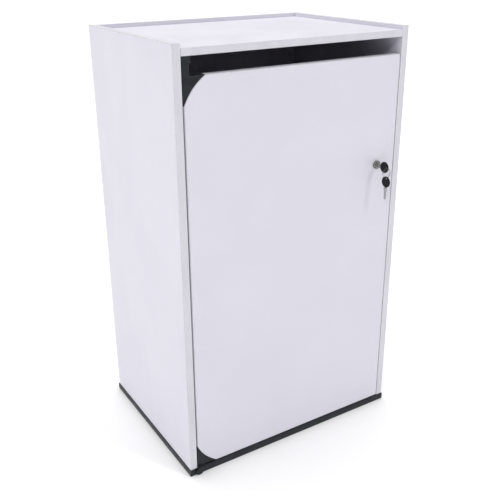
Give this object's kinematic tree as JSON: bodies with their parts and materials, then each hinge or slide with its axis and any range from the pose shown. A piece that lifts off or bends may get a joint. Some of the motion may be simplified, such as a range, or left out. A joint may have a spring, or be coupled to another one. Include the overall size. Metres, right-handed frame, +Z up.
{
  "type": "parcel drop cabinet",
  "caption": "Floor-standing white drop cabinet with an open slot under its top, a pivot-hinged lockable door and keys on a ring.",
  "frame": {"origin": "on the floor, at the middle of the footprint of the side panels and base board", "axes": "+Z up, -Y towards the front where the door is, +X to the right as seen from the front"},
  "size_m": [0.5474, 0.4458, 0.914],
  "materials": {
    "white_laminate": "smooth white melamine-faced board, satin",
    "black_laminate": "black melamine-faced board, matt",
    "black_vinyl": "black vinyl T-edging, satin",
    "black_nylon": "black moulded nylon, fine texture",
    "zinc_steel": "zinc-plated steel",
    "die_cast_zinc": "raw die-cast zinc",
    "nickel": "nickel-plated, polished",
    "beech": "raw beech",
    "key_plastic": "black moulded plastic, satin"
  },
  "bodies": {
    "cabinet": {"side_panel_left": "white_laminate", "side_panel_right": "white_laminate", "top_panel": "white_laminate", "back_panel": "white_laminate", "door_stop": "white_laminate", "base_board": "black_laminate", "base_edge_front": "black_vinyl", "base_edge_left": "black_vinyl", "base_edge_right": "black_vinyl", "base_edge_back": "black_vinyl", "cam_fitting_left_front": "die_cast_zinc", "cam_fitting_left_rear": "die_cast_zinc", "cam_fitting_right_front": "die_cast_zinc", "cam_fitting_right_rear": "die_cast_zinc", "cam_bolt_left_front": "zinc_steel", "cam_bolt_left_rear": "zinc_steel", "cam_bolt_right_front": "zinc_steel", "cam_bolt_right_rear": "zinc_steel", "back_dowel_left_lower": "beech", "back_dowel_left_upper": "beech", "back_dowel_right_lower": "beech", "back_dowel_right_upper": "beech", "base_screw_left_front": "zinc_steel", "base_screw_left_rear": "zinc_steel", "base_screw_right_front": "zinc_steel", "base_screw_right_rear": "zinc_steel", "base_screw_back_left": "zinc_steel", "base_screw_back_right": "zinc_steel", "hinge_bracket_top": "black_nylon", "hinge_bracket_bottom": "black_nylon", "pivot_pin_top": "zinc_steel", "pivot_pin_bottom": "zinc_steel", "hinge_top_screw_front": "zinc_steel", "hinge_top_screw_rear": "zinc_steel", "hinge_bottom_screw_front": "zinc_steel", "hinge_bottom_screw_rear": "zinc_steel", "strike_plate": "zinc_steel", "strike_screw_lower": "zinc_steel", "strike_screw_upper": "zinc_steel", "door_stop_screw": "zinc_steel"},
    "door": {"door_panel": "white_laminate", "corner_plate_top": "black_nylon", "corner_plate_bottom": "black_nylon", "corner_top_screw_inner": "zinc_steel", "corner_top_screw_outer": "zinc_steel", "corner_bottom_screw_inner": "zinc_steel", "corner_bottom_screw_outer": "zinc_steel", "lock_housing": "nickel", "lock_nut": "zinc_steel"},
    "lock_plug": {"lock_plug": "nickel", "lock_cam": "zinc_steel", "cam_screw": "zinc_steel"},
    "key": {"key_bow": "key_plastic", "key_blade": "nickel"},
    "key_ring": {"key_ring": "nickel"},
    "spare_key": {"spare_key_bow": "key_plastic", "spare_key_blade": "nickel"}
  },
  "joints": [
    {"name": "door_hinge", "type": "hinge", "parent": "cabinet", "child": "door", "pos_m": [-0.248, -0.1945, 0.44], "axis": [0, 0, -1], "range_deg": [0, 110]},
    {"name": "lock_turn", "type": "hinge", "parent": "door", "child": "lock_plug", "pos_m": [0.206, -0.199, 0.6264], "axis": [0, 1, 0], "range_deg": [0, 90]},
    {"name": "key_slide", "type": "slide", "parent": "lock_plug", "child": "key", "axis": [0, -1, 0], "range_m": [0, 0.022]},
    {"name": "ring_swing", "type": "hinge", "parent": "key", "child": "key_ring", "pos_m": [0.206, -0.2331, 0.62535], "axis": [-1, 0, 0], "range_deg": [-12, 75]},
    {"name": "spare_key_swing", "type": "hinge", "parent": "key_ring", "child": "spare_key", "pos_m": [0.206, -0.2331, 0.60455], "axis": [-1, 0, 0], "range_deg": [-15, 60]}
  ]
}
